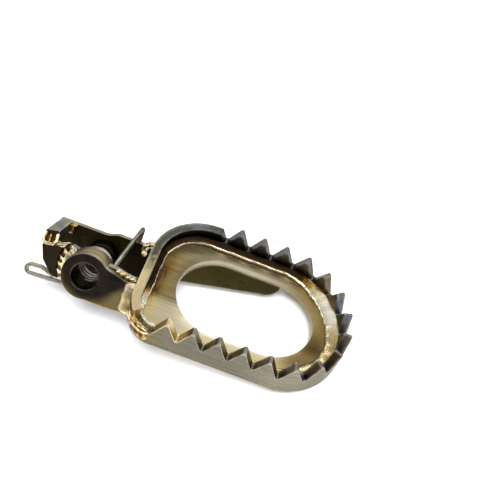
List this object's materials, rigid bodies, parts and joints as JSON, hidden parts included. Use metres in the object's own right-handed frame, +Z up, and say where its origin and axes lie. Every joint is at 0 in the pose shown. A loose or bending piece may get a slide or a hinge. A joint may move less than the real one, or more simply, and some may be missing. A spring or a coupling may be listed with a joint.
{
  "type": "foot peg",
  "caption": "Toothed motorcycle foot peg with an oval platform opening, a leaning hinge bore, a stop bar and a torsion return spring.",
  "frame": {"origin": "middle of the pivot bore, halfway between the outer faces of the two eyes", "axes": "+X along the peg to its outer tip, +Y to the rear, +Z up, square to the platform"},
  "size_m": [0.1313, 0.0595, 0.0351],
  "materials": {
    "band_metal": null,
    "plate_metal": "brushed titanium, straw tint",
    "arm_metal": "brushed titanium, dark bronze tint",
    "boss_metal": "turned titanium",
    "weld_metal": "rippled weld, gold tint",
    "spring_steel": "drawn wire"
  },
  "bodies": {
    "peg": {"cleat_band": "band_metal", "platform_plate": "plate_metal", "platform_weld": "weld_metal", "corner_weld": "weld_metal", "corner_weld_lower": "weld_metal", "front_arm": "arm_metal", "front_arm_inner_plate": "arm_metal", "front_pivot_boss": "boss_metal", "rear_pivot_boss": "boss_metal", "rear_arm": "arm_metal", "stop_cheek": "arm_metal", "stop_bar": "arm_metal", "front_arm_weld": "weld_metal", "rear_arm_weld": "weld_metal", "rear_arm_weld_under": "weld_metal", "rear_arm_weld_inside": "weld_metal", "rear_arm_weld_corner": "weld_metal", "front_seam_weld": "weld_metal", "cheek_weld": "weld_metal", "front_boss_weld": "weld_metal", "stop_bar_weld": "weld_metal", "stop_end_weld": "weld_metal", "spring_coil": "spring_steel", "spring_hook": "spring_steel"},
    "leg": {"spring_leg": "spring_steel"}
  },
  "joints": [
    {"name": "spring_leg_swing", "type": "hinge", "parent": "peg", "child": "leg", "pos_m": [0, 0, 0], "axis": [0, 0.8387, -0.5446], "range_deg": [0, 22], "stiffness_Nm_per_rad": 1.5}
  ]
}
